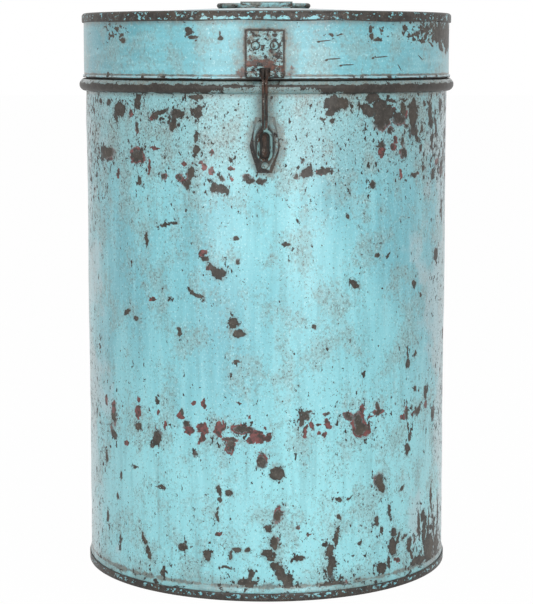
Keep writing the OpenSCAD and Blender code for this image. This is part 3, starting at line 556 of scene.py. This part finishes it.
def wall_coat():
    """The body's paint: chips listed one by one in front, noise for flecks and for the back."""
    coat = Coat("drum_wall_paint")
    across, up = coat.axis("X") * 1000, coat.axis("Z") * 1000
    in_front = coat.axis("Y").rise(0, -0.1)
    turn, flat = unrolled(coat)
    rough_flat = ragged(coat, ragged(coat, flat, 0.009, 90), 0.0042, 320, 4)
    fray = coat.grain(240, detail=2, shift=6) - 0.5
    chip = nearest_chip(coat, rough_flat, bare_chips) + fray * 0.8
    red_chip = nearest_chip(coat, rough_flat, primer_chips) + fray * 0.9
    # how chipped the wall is at each height, as a share of half a metre
    height = coat.axis("Z") * 2
    levels = ((0.0, 0.7), (0.07, 0.5), (0.16, 0.28), (0.26, 0.28), (0.33, 0.62), (0.4, 0.36),
              (0.5, 0.14), (0.62, 0.2), (0.74, 0.36), (0.82, 0.66), (0.88, 0.56), (0.94, 0.6))
    busy = coat.node("ShaderNodeValToRGB", {"stops": levels}, {"Fac": height}, "Alpha")
    red_levels = ((0.0, 0.1), (0.24, 0.1), (0.31, 0.9), (0.36, 0.75), (0.42, 0.1),
                  (0.7, 0.1), (0.8, 0.6), (0.87, 0.5), (0.93, 0.15))
    reddish = coat.node("ShaderNodeValToRGB", {"stops": red_levels}, {"Fac": height}, "Alpha")
    patch = coat.grain(16, (1, 1, 1), 3, 0.6, 21)
    side = abs(turn).rise(0.9, 1.2) * abs(turn).rise(1.75, 1.4)
    lively = busy * (0.25 + patch * 1.1) + chip.rise(3.2, 1.0) * 0.4 + side * (patch * 1.3 - 0.3)
    tick = coat.grain(200, (1, 1, 0.62), 3, 0.6, 11)
    ticks = (tick + lively * 0.15).rise(0.705, 0.725)
    dot = coat.grain(400, (1, 1, 0.75), 2, 0.6, 15)
    dots = (dot + lively * 0.15).rise(0.725, 0.75)
    # round the sides and back, out of the hasp's sight, the big chips come from noise
    behind = abs(turn).rise(1.2, 1.4)
    blots = coat.grain(58, (1, 1, 0.85), 4, 0.6, 51) + busy * 0.14
    crumbs = coat.grain(110, (1, 1, 0.7), 3, 0.6, 57) + busy * 0.14
    large = (blots.rise(0.69, 0.7) | crumbs.rise(0.715, 0.725)) * behind
    bare = (chip.rise(1.06, 0.94) | ticks) | (dots | large)
    # the swaged bead is rubbed bare below its crown, with a torn edge to the paint above; by the
    # hasp only the crown is knocked. Inside the lid's hem the neck is bare too.
    torn = coat.grain(85, (1, 1, 0.7), 5, 0.72, 31) - 0.5
    front = (abs(turn) + torn * 0.8).rise(0.34, 0.1)
    rubbed = (up + torn * 9).rise(484.4, 483.9) * (up + torn * 8 - front * 9).rise(475.2, 476.2)
    knocked = (abs(up - 483.0) + torn * 9).rise(1.1, 0.6)
    bead = rubbed | knocked | (up + torn * 2).rise(487.1, 487.6)
    bare = bare | bead
    # the foot's flare keeps its paint under a line of dirt
    foot = up.rise(12.8, 12.2)
    bare = bare * (1 - foot) | foot * coat.grain(140, (1, 1, 1.4), 4, 0.65, 8).rise(0.58, 0.62)
    primer = red_chip.rise(1.06, 0.94)
    halo = (chip.rise(1.3, 1.08) & chip.rise(0.66, 0.9)) * (patch + reddish * 0.25).rise(0.6, 0.7)
    red_dots = (dot + reddish * 0.1).rise(0.74, 0.77) * chip.rise(2.4, 1.4)
    red_blots = (coat.grain(85, (1, 1, 0.8), 3, 0.6, 63) + reddish * 0.1).rise(0.71, 0.72) * behind
    primer = (primer | halo) | (red_dots | red_blots)
    scab = coat.grain(230, (1, 1, 0.8), 3, 0.65, 17).rise(0.56, 0.48)
    bare = (bare * (1 - primer * scab)) | (red_chip.rise(1.0, 0.9) * (1 - scab)) * 0.85
    # darker just under the bead; painted shadow with dirt round the staple plate; the link's
    # painted shadow, with its rub mark, on the wall behind it; dirt low on the wall and as a haze
    # by the chips
    low = up.rise(30, 10) * patch.rise(0.3, 0.6) | (abs(up - 14) + torn * 12).rise(3.4, 0.8) * 1.6
    under_bead = (up + torn * 7).rise(470.5, 475.5) * 0.55
    # painted shadow of the staple plate on the wall round it, with dirt
    above = up - staple_at
    reach = (across * across * 0.0036 + above * above * 0.00115).math("SQRT")
    plate_shadow_and_dirt = (reach + torn * 1.3).rise(1.16, 0.86) * in_front
    # painted shadow of the link on the wall behind it, where it also rubs the paint
    link_shadow_and_rub = (abs(across) + torn * 9).rise(15, 2) * up.rise(436, 450) * in_front * 0.7
    drip = coat.grain(150, (1, 1, 0.06), 3, 0.65, 41).rise(0.6, 0.72) * (0.2 + busy * 0.4)
    haze = chip.rise(1.6, 1.05) * 0.3
    grime = (low * 0.5 | under_bead) | (plate_shadow_and_dirt * 0.6 | link_shadow_and_rub) | (drip * 0.5 | haze)
    dull = up.rise(372, 430) * 0.4
    # painted sheen: the paint lightened on both sides of the drum, from about 60 degrees round from
    # the hasp, fading out past the sides
    drift = turn + (patch - 0.5) * 1.6
    sheen_and_dust = (drift.rise(0.98, 1.2) | drift.rise(-1.1, -1.34)) * abs(drift).rise(2.2, 1.7) * 0.5
    film = 1 - (ticks | bead)
    # the iron is darker high on the wall; painted shade darkens it at the chips' edges, as the
    # paint's thickness would shade them, and all over the bead
    dark_iron_and_shade = (chip.rise(0.66, 0.96) | up.rise(230, 430) * 0.4) * up.rise(475, 474)
    dark_iron_and_shade = dark_iron_and_shade | up.rise(474, 475) * 0.95
    fresh = up.rise(230, 90) * 0.6
    return weather(coat, bare, primer, grime, film=film, dull=dull, sheen_and_dust=sheen_and_dust, fresh=fresh,
                   dark_iron_and_shade=dark_iron_and_shade)


def inside_coat():
    """Never painted: grey iron, browned all over, with rust freckles and runs of damp."""
    coat = Coat("inside_iron")
    wide = coat.grain(9, (1, 1, 0.7), 4, 0.6, 3)
    blotch = coat.grain(26, (1, 1, 0.8), 4, 0.65, 5)
    freckle = coat.grain(170, (1, 1, 0.8), 4, 0.68, 7)
    run = coat.grain(46, (1, 1, 0.07), 3, 0.6, 11)
    colour = coat.blend(wide.rise(0.38, 0.62), tint(92, 90, 85), tint(128, 126, 119))
    colour = coat.blend(run.rise(0.48, 0.68) * 0.5, colour, tint(98, 82, 66))
    colour = coat.blend(blotch.rise(0.5, 0.66) * 0.6, colour, tint(88, 66, 50))
    rust = (freckle + blotch * 0.3).rise(0.68, 0.75)
    colour = coat.blend(rust * 0.8, colour, tint(92, 54, 36))
    steps = {"Strength": 0.5, "Distance": 0.0005, "Height": freckle * 0.6 + blotch * 0.4}
    return coat.finish({
        "Base Color": colour,
        "Roughness": 0.5 + rust * 0.3,
        "Metallic": 0.35 - rust * 0.3,
        "Normal": coat.node("ShaderNodeBump", {}, steps),
    })


def line(piece, inner, faces_in):
    """Gives the sheet's inner side its own coat; faces_in says which faces those are."""
    piece.data.materials.append(inner)
    for face in piece.data.polygons:
        across = face.normal.x * face.center.x + face.normal.y * face.center.y
        if faces_in(face, across / max(math.hypot(face.center.x, face.center.y), 0.001)):
            face.material_index = len(piece.data.materials) - 1


def below_curl(face, outward):
    return outward < -0.2 and face.center.z < 0.508


bare_inside = inside_coat()
drum_wall.data.materials.append(wall_coat())
line(drum_wall, bare_inside, below_curl)
seam.data.materials.append(bare_inside)
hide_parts("body_shell")
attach(drum_wall, "drum")
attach(seam, "drum")


# ---- Bottom: a flat panel let up into the foot, its edge folded down inside the foot and back
# up round the outside. That fold is what the drum stands on, so it is scraped nearly bare.
panel_under, panel_top = 9.0, 10.0
bottom_outline = (
    [(radius, panel_under) for radius in (8, 60, 120, 176.8)]
    # down inside the foot, under it and back up round the outside
    + [(178.0, 8.6), (178.2, 8.0), (178.2, 0.6), (178.7, 0.1), (180.0, 0.0), (181.3, 0.05)]
    + [(181.75, 0.3), (181.9, 0.8), (181.9, 2.8), (181.9, 5.2), (181.9, 7.2), (181.6, 7.75)]
    + [(181.2, 7.8), (180.95, 7.5), (180.95, 1.1), (179.7, 1.1), (179.7, 9.4)]
    + [(radius, panel_top) for radius in (179.2, 120, 60, 8)]
)
drum_bottom = rolled("drum_bottom", bottom_outline, closed=False)
rumple(drum_bottom, lambda spot: 0.00012 if spot.z > 0.004 else 0)
shade(drum_bottom)


def fold_coat():
    """Scraped iron, with flakes of paint held on round the middle of the fold."""
    coat = Coat("drum_bottom_fold")
    up = coat.axis("Z") * 1000
    flake = coat.grain(260, (1, 1, 1.2), 3, 0.62, 2)
    gather = coat.grain(60, (1, 1, 0.2), 3, 0.6, 4)
    held = (flake + gather * 0.35).rise(0.74, 0.765)
    middle = up.rise(2.4, 3.6) * up.rise(7.4, 6.0)
    rusty = coat.grain(70, (1, 1, 1), 3, 0.6, 6).rise(0.52, 0.66)
    return weather(coat, 1 - held * middle, rusty * 0.3, rusty * 0.3, iron=(38, 34, 30))


def on_panel(face, outward):
    return abs(face.normal.z) > 0.8 and face.center.z > 0.0085


drum_bottom.data.materials.append(fold_coat())
line(drum_bottom, bare_inside, on_panel)
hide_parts("bottom_panel")
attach(drum_bottom, "drum")


# ---- Lid skirt: a hoop of thinner sheet that slips over the neck, its lower edge folded back
# outwards as a hem. Its paint is better kept, with grime by the hasp and a bare patch at right.
skirt_out, skirt_in, skirt_top = 182.0, 181.1, 548.0
hem_top, hem_tall = 491.8, 3.2
skirt_outline = (
    [(skirt_in, skirt_top)]
    + rows(skirt_in, skirt_top, 489.2, 12)
    + [(skirt_in, 489.1), (181.5, 488.6), (182.6, 488.6), (183.1, 488.9), (183.2, 489.6)]
    + [(183.2, 490.8), (183.0, 491.4), (182.4, 491.6), (skirt_out, 491.9)]
    + rows(skirt_out, 491.9, skirt_top, 22)
    + [(skirt_out, skirt_top)]
)
lid_hoop = rolled("lid_hoop", skirt_outline)


def hoop_swell(spot):
    """Less than the body: the skirt was rolled to fit the neck, and its hem stiffens it."""
    return 0.00028 * eased(spot.z * 1000, 489, 500) * eased(545 - spot.z * 1000, 0, 10)


rumple(lid_hoop, hoop_swell, dents=((-40, 515, 40, 14, 0.3), (36, 510, 46, 14, 0.3)))
for vertex in lid_hoop.data.vertices:
    below = hem_top / 1000 - vertex.co.z
    if below > 0:
        ripple = noise.noise(Vector((vertex.co.x * 26, vertex.co.y * 26, 5)))
        vertex.co.z += (0.0002 + 0.001 * ripple) * below / (hem_tall / 1000)
shade(lid_hoop)

# its chips, and the scratches where things were dragged across it, given as the body's are
hoop_chips = (
    (-22.5, 533, 9, 5, -20), (-21, 527, 11, 3, 0), (-23, 530, 6, 4, 0), (-12.8, 526.5, 5, 4.5, 0),
    (-12.9, 530, 1.4, 6, 0), (-48, 529, 5, 4, 0), (-50, 535, 4, 5, 0), (-47, 524, 6, 4, 0),
    (-53, 529, 4, 3, 0), (-55, 492, 5, 6, 0), (32.2, 534, 4, 8, 0), (32.5, 528, 5, 5, -20),
    (34.3, 525, 9, 3, 0), (36, 534, 5, 2, 0), (22, 529, 7, 1.6, 0), (19.5, 529.5, 4, 1.6, 0),
    (46, 535, 6, 2.4, 0), (48, 529, 5, 2.4, 0), (52, 531, 8, 3, -10), (54, 524, 10, 2.4, -20),
    (66, 531, 30, 19, 0), (76, 528, 36, 29, 0), (57, 535, 16, 5, 0), (68, 519, 16, 8, -24),
    (92, 528, 40, 24, 0), (112, 533, 30, 14, 0), (-20, 524, 3, 1.4, 0), (60, 521, 10, 3, -20),
    (50, 525, 4, 3, 0), (56, 529, 6, 4, 0), (45, 531, 3, 3, 0),
)
scratches = (
    (17.2, 523.6, 14, 1.2, 6), (15.7, 522.8, 3.4, 2, 10), (20.2, 507.6, 15, 1.2, 2),
    (18, 506.6, 3.4, 2, 14), (24.4, 502, 15, 1.2, 1), (22.4, 501.4, 3.4, 2, 10),
    (36.2, 509.3, 16, 1.2, 3), (33.2, 508.2, 3.4, 2, 12), (43.5, 499.6, 1.2, 9, 38),
    (53.6, 508.4, 1.2, 10, 60),
)
rust_shades = ((52, 27, 16), (100, 51, 30))
hasp_half, hasp_top, hasp_low = 17.5, 533.5, 490.2      # the hasp plate, riveted on in front


def hoop_coat():
    """The skirt's paint, with dirt and rust drawn round the hasp plate."""
    coat = Coat("lid_hoop_paint")
    across, up = coat.axis("X") * 1000, coat.axis("Z") * 1000
    in_front = coat.axis("Y").rise(0, -0.1)
    turn, flat = unrolled(coat)
    chip = nearest_chip(coat, ragged(coat, flat, 0.007, 120, 4), hoop_chips)
    chip = chip + (coat.grain(260, (1, 1, 0.8), 2, 0.6, 6) - 0.5) * 1.1
    scratch = nearest_chip(coat, ragged(coat, flat, 0.0016, 60, 9), scratches).rise(1.1, 0.8)
    patch = coat.grain(18, (1, 1, 1), 3, 0.6, 23)
    tick = coat.grain(260, (0.8, 0.8, 1), 3, 0.6, 14)
    left_group = turn.rise(-1.03, -0.95) * turn.rise(-0.74, -0.82) * 1.1
    right_group = turn.rise(0.5, 0.62) * turn.rise(1.5, 1.2) * (0.5 + turn.rise(0.72, 0.86) * 0.8)
    flecked = (left_group | right_group) * up.rise(517, 527)
    busy = up.rise(520, 540) * 0.2 + chip.rise(2.6, 1) * 0.6 + patch * 0.3 + flecked
    ticks = (tick + busy * 0.12).rise(0.715, 0.74)
    torn = coat.grain(85, (1, 1, 1), 4, 0.65, 33) - 0.5
    worn_hem = coat.grain(75, (1, 1, 0.6), 4, 0.65, 36).rise(0.55, 0.6) * up.rise(492.4, 491.8)
    hem = (up + torn * 3).rise(490.2, 489.7) | worn_hem
    # darker in the corner under the rim; grime along the hem and round the hasp plate
    below_rim = (up + torn * 8).rise(536, 543) * 0.6
    along_hem = (abs(up - 492.6) + torn * 4).rise(1.3, 0.4) * 0.85
    beyond = (abs(across) - hasp_half) | (up - hasp_top)
    by_plate = (beyond + torn * 24).rise(14, 0) * in_front
    edge = (beyond + torn * 8).rise(3.8, 1.0) * up.rise(491, 494) * in_front
    crease = (beyond + torn * 5).rise(1.0, 0.3) * up.rise(491, 494) * in_front
    blots = (coat.grain(62, (1, 1, 0.9), 4, 0.6, 45) + up.rise(505, 540) * 0.05).rise(0.68, 0.69)
    behind = abs(turn).rise(1.7, 1.9)
    bare = (chip.rise(1.06, 0.94) | ticks) | (scratch | hem) | (crease | blots * behind)
    spots = (abs(abs(across - 1.5) - 22.5) * 0.13 + abs(up - 495.5) * 0.12 + torn * 1.6)
    blotch = spots.rise(1.0, 0.3) * in_front
    smear = coat.grain(30, (1, 1, 1.4), 4, 0.6, 27).rise(0.52, 0.66) * up.rise(520, 492)
    grime = (below_rim | by_plate * 0.5) | (edge * 0.9 | blotch * 0.8)
    grime = grime | (smear * 0.3 | along_hem) | chip.rise(1.6, 1.05) * 0.3
    rusty = blotch.rise(0.3, 0.8) * coat.grain(140, detail=4, shift=12).rise(0.45, 0.52)
    # painted shade: the iron darkest in a thin line round the hasp plate's edge and under the hem's
    # fold
    dark_iron_and_shade = (beyond + torn).rise(2.4, 1.4) | up.rise(491.4, 490.8)
    # painted highlight along the hem's fold
    hem_highlight = (abs(up - 491.0) + torn * 3).rise(0.9, 0.3) * 0.7
    return weather(coat, bare, rusty * 0.9, grime, dull=0.04, drawn=(0.1, 0.1, 1), sheen_and_dust=hem_highlight,
                   grit=0.25, dark_iron_and_shade=dark_iron_and_shade, paints=((82, 160, 174), (112, 187, 199)), under=rust_shades)


lid_hoop.data.materials.append(hoop_coat())
line(lid_hoop, bare_inside, lambda face, outward: outward < -0.5)
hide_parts("lid_skirt")
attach(lid_hoop, "lid")


# ---- Lid top: a slightly domed panel set a little below the rim, where its edge turns up and
# over the top of the skirt. The rim is rubbed down to brown iron, with paint left low in front.
dome_reach, dome_top, dome_rise, dome_rings = 176.1, 556.8, 8.4, 16
lid_sheet = 0.9
shares = [i / dome_rings for i in range(1, dome_rings + 1)]
dome_points = [(dome_reach * share, dome_top - dome_rise * share ** 2) for share in shares]
under_points = [(radius, height - lid_sheet) for radius, height in reversed(dome_points)]
rim_middle, rim_bulge, rim_start = (180.5, 548.1), 3.3, 180.5
top_outline = (
    dome_points
    + [(178.4, 548.4), (179.2, 548.8), (179.6, 549.6), (179.7, 550.5), (180.0, 551.1)]
    + hoop_points(rim_middle, rim_bulge, 90, 0, 6)
    + [(183.8, 546.4), (183.8, 544.8), (183.75, 543.2), (183.6, 542.5), (183.2, 542.2)]
    + [(182.2, 542.2), (182.15, 543.1), (182.9, 543.3), (182.9, 548.1), (182.6, 549.3)]
    + [(181.9, 550.1), (181.0, 550.4), (180.6, 549.9), (180.5, 548.5), (179.8, 547.5)]
    + under_points
)
lid_panel = rolled("lid_panel", top_outline, closed=False)


def rim_swell(spot):
    """Only the rim wavers in and out; the dome gets its hollows below."""
    return 0.0003 if math.hypot(spot.x, spot.y) > rim_start / 1000 else 0


rumple(lid_panel, rim_swell)
for vertex in lid_panel.data.vertices:
    reach = math.hypot(vertex.co.x, vertex.co.y)
    calm = eased(reach, 0.03, 0.07) * eased(0.176 - reach, 0, 0.03)
    wave = noise.noise(Vector((vertex.co.x * 12, vertex.co.y * 12, 2)))
    vertex.co.z += 0.0009 * min(wave, 0) * calm
    if vertex.co.z < 0.5434 and reach > 0.182:
        ripple = noise.noise(Vector((vertex.co.x * 22, vertex.co.y * 22, 8)))
        vertex.co.z += 0.0011 * ripple
shade(lid_panel)


def rim_coat():
    """A rim rubbed to iron, and a dome with worn paint under settled dust."""
    coat = Coat("lid_panel_rim")
    x, y, up = coat.axis("X"), coat.axis("Y"), coat.axis("Z") * 1000
    turn = turned(coat)
    reach = (x * x + y * y).math("SQRT") * 1000
    flake = coat.grain(130, (1, 1, 1.5), 4, 0.68, 2)
    kept = abs(turn + 0.02).rise(0.42, 0.22) * up.rise(547.6, 544.6)
    held = (flake + kept * 0.19 + coat.grain(24, shift=4) * 0.12).rise(0.685, 0.71)
    small = coat.grain(330, (0.7, 0.7, 1), 3, 0.6, 24) + coat.grain(30, shift=14) * 0.25
    held = held | small.rise(0.74, 0.76)
    on_rim = reach.rise(180.2, 181.6)
    wide = coat.grain(14, (1, 1, 1), 4, 0.6, 7)
    rub = coat.grain(60, (1, 1, 1), 4, 0.66, 19)
    dome_bare = (rub + reach.rise(165, 178) * 0.2 + reach.rise(60, 30) * 0.1).rise(0.6, 0.65)
    dome_bare = dome_bare | (wide + reach.rise(150, 180) * 0.1).rise(0.66, 0.69)
    held = held * up.rise(542.8, 543.6) * up.rise(551.0, 549.6)
    bare = on_rim * (1 - held) | (1 - on_rim) * dome_bare
    rusty = coat.grain(80, (1, 1, 1), 3, 0.6, 6).rise(0.55, 0.68) * 0.3
    settled = (reach.rise(160, 178) | wide.rise(0.48, 0.66)) * (1 - on_rim) * 0.6
    dust = reach.rise(150, 90) * (0.35 + wide.rise(0.4, 0.6) * 0.4)
    return weather(coat, bare, rusty * on_rim, settled | rusty, iron=(41, 37, 33), sheen_and_dust=dust)


def under_dome(face, outward):
    return face.normal.z < -0.5 and face.center.z > 0.544


lid_panel.data.materials.append(rim_coat())
line(lid_panel, bare_inside, under_dome)
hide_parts("lid_top")
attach(lid_panel, "lid")


# ---- Hasp plate: a flat iron strap riveted to the skirt, its lower edge rolled round a pin.
# Hands have worn the paint to grey, and rust sits round the rivets and along the roll.
def dress(coat_material, *names):
    """Gives carried-over pieces a coat in place of the plain one they came with."""
    for name in names:
        for place in nodes[name].material_slots:
            place.material = coat_material


def plate_coat(name, half_width, top, low, rivets, wear):
    """Worn paint on a flat strap, bare along its edges and in a ring round each rivet."""
    coat = Coat(name)
    across, up = coat.axis("X") * 1000, coat.axis("Z") * 1000
    rub = coat.grain(170, (1, 1, 1), 4, 0.68, 3)
    scuff = coat.grain(420, (1, 1, 1), 3, 0.6, 8)
    torn = (rub - 0.5) * 3.2
    rim = ((abs(across) * -1 + half_width) & (up * -1 + top)) & (up - low)
    edge = (rim + torn).rise(1.4, 0.7)
    bare = (rub + wear).rise(0.62, 0.65) | (edge | (scuff + wear * 0.6).rise(0.66, 0.69))
    ring, head_radius = None, 3.7
    for rivet_across, rivet_up in rivets:
        dx, dz = across - rivet_across, up - rivet_up
        away = abs((dx * dx + dz * dz).math("SQRT") - head_radius)
        groove = (away + (rub - 0.5) * 2).rise(0.7, 0.3)
        ring = groove if ring is None else ring | groove
    grime = coat.grain(95, (1, 1, 1), 4, 0.62, 12).rise(0.47, 0.56) * 0.75
    if ring is not None:
        bare = bare | ring
        grime = grime | ring
    band = abs(up - low - 11).rise(9, 3) * 0.12
    rusty = (coat.grain(120, (1, 1, 1), 4, 0.66, 18) + band).rise(0.585, 0.62)
    bare = bare * (1 - rusty * 0.7)
    return weather(coat, bare, rusty, grime, dull=0.35, iron=(33, 28, 25), relief=1.4,
                   paints=((104, 156, 162), (140, 192, 198)), under=rust_shades)


hasp_rivets_at = ((-8.6, 519.5), (8.6, 519.5))
hasp_worn = plate_coat("hasp_plate_worn", hasp_half, hasp_top, hasp_low, hasp_rivets_at, 0.1)
dress(hasp_worn, "hasp_plate")


def head_coat():
    """Rivet heads: paint left in the hollows, iron on the crown."""
    coat = Coat("rivet_heads")
    bare = coat.grain(210, (1, 1, 1), 4, 0.68, 4).rise(0.54, 0.59)
    grime = coat.grain(120, shift=6).rise(0.46, 0.6) * 0.55
    return weather(coat, bare, 0.0, grime, dull=0.5, relief=1.3)


dress(head_coat(), "hasp_rivets", "staple_rivets", "hinge_body_rivets", "hinge_lid_rivets",
      "handle_rivets")


# ---- Wire parts: the hasp pin, the doubled wire link with its eye, the staple, the hinge pin
# and the wire in the neck. Bare iron wire, brown with rust and polished where pieces rub.
def wire_coat(name, dark, light, paint_left, polish, painted_below=None):
    """Browned wire with bright rubbed spots, and smears of paint as far up as painted_below."""
    coat = Coat(name)
    rub = coat.grain(190, (1, 1, 0.6), 4, 0.68, 7)
    fine = coat.grain(700, (1, 1, 1), 3, 0.6, 2)
    colour = coat.blend(rub.rise(0.38, 0.62), tint(*dark), tint(*light))
    rust = coat.grain(120, (1, 1, 1), 4, 0.65, 5).rise(0.48, 0.62)
    colour = coat.blend(rust * 0.6, colour, tint(84, 54, 40))
    bright = (fine * 0.5 + rub * 0.5).rise(0.57, 0.62) * polish
    colour = coat.blend(bright, colour, tint(150, 146, 140))
    left = (coat.grain(160, (1, 1, 0.5), 4, 0.65, 9) + paint_left).rise(0.62, 0.66)
    if painted_below is not None:
        left = left * (coat.axis("Z") * 1000).rise(painted_below, painted_below - 7)
    colour = coat.blend(left, colour, tint(116, 152, 152))
    steps = {"Strength": 0.6, "Distance": 0.0005, "Height": fine * 0.5 + rub * 0.5 + left * 0.3}
    return coat.finish({
        "Base Color": colour,
        "Roughness": 0.62 - bright * 0.2,
        "Metallic": (1 - left) * bright * 0.5,
        "Specular IOR Level": 0.3,
        "Normal": coat.node("ShaderNodeBump", {}, steps),
    })


link_worn = wire_coat("link_wire", (27, 22, 19), (60, 49, 42), 0.19, 0.9, painted_below=450)
staple_worn = wire_coat("staple_wire", (24, 20, 17), (60, 49, 41), -0.04, 0.6)
pins_worn = wire_coat("pin_wire", (38, 31, 26), (74, 60, 50), -0.05, 0.5)
dress(link_worn, "hasp_link")
dress(staple_worn, "staple")
dress(pins_worn, "hasp_pin", "hinge_pin", "neck_wire")


# ---- Staple plate: a leaf-shaped iron plate, riveted above and below the staple. Painted with
# the drum and worn in spots, with painted shade round its edge, round the staple and at its top.
def leaf_coat():
    """Painted shade at the edge and round the staple, most of all low on its left, and at its top;
    worn and grimy in spots.
    """
    coat = Coat("staple_plate_worn_and_shaded")
    across, up = coat.axis("X") * 1000, coat.axis("Z") * 1000 - staple_at
    wide = (up.rise(-25, 0) * 7.5 + 6.5) - up.rise(4, 26) * 5
    rub = coat.grain(170, (1, 1, 1), 4, 0.68, 3)
    torn = (rub - 0.5) * 4
    left_more = (across * -1 + up * -0.4).rise(2, 12) * 2.4
    rim = (wide - abs(across)) & (up + 25)
    # painted shade at the plate's top, under the link, where it softens the edge's shade
    top = (up + torn).rise(9, 24)
    # painted shade: the plate's edge darkened as its thickness would shade it, most of all low on
    # its left
    edge = (rim + torn - left_more).rise(2.5, 1.6) * (1 - top * 0.7)
    shadow = ((across * across + up * up * 0.24).math("SQRT") + torn).rise(10.6, 8.4)
    bare = (edge | rub.rise(0.6, 0.63)) | shadow * 0.9
    grime = (shadow * 0.8) | (rub.rise(0.46, 0.56) * 0.75 | top * 0.65)
    # paint and iron darker than the drum's: the plate painted as in shade
    return weather(coat, bare, 0.0, grime, dull=0.2, iron=(20, 17, 15), relief=1.4,
                   paints=((84, 134, 140), (112, 164, 170)))


dress(leaf_coat(), "staple_plate")


# ---- Hinge leaves: two straps of iron at the back, their knuckles rolled round one pin.
# One is riveted to the drum and one to the lid, and both were painted over with them.
leaf_half, leaf_wear = 21, 0.05
lid_leaf = plate_coat("hinge_leaf_lid", leaf_half, 536.6, 494, (), leaf_wear)
drum_leaf = plate_coat("hinge_leaf_drum", leaf_half, 488, 424.6, (), leaf_wear)
dress(lid_leaf, "hinge_lid_leaf")
dress(drum_leaf, "hinge_body_leaf")


# ---- Handle: a wire bail that folds down on the lid, held by a bent saddle with four rivets.
# Painted with the lid, rubbed dark at its ends and along its edges.
def handle_coat(name, ends):
    """The lid's paint, rubbed off along the crest and further than ends from the middle."""
    coat = Coat(name)
    across, up = coat.axis("X") * 1000, coat.axis("Z") * 1000
    rub = coat.grain(190, (0.6, 1, 1), 4, 0.68, 6)
    fine = coat.grain(420, (0.5, 1, 1), 3, 0.65, 3)
    far = abs(across + 3)
    bare = (rub * 0.6 + fine * 0.4 + far.rise(ends, ends + 8) * 0.12).rise(0.54, 0.58)
    crest = (up + (rub - 0.5) * 3).rise(562.0, 563.0)
    grime = coat.grain(150, (0.6, 1, 1), 3, 0.6, 12).rise(0.44, 0.56) * 0.8
    return weather(coat, bare | crest * 0.9, 0.0, grime, dull=0.35, relief=1.3)


dress(handle_coat("handle_bail_worn", 38), "handle_bail")
dress(handle_coat("handle_saddle_worn", 22), "handle_saddle")
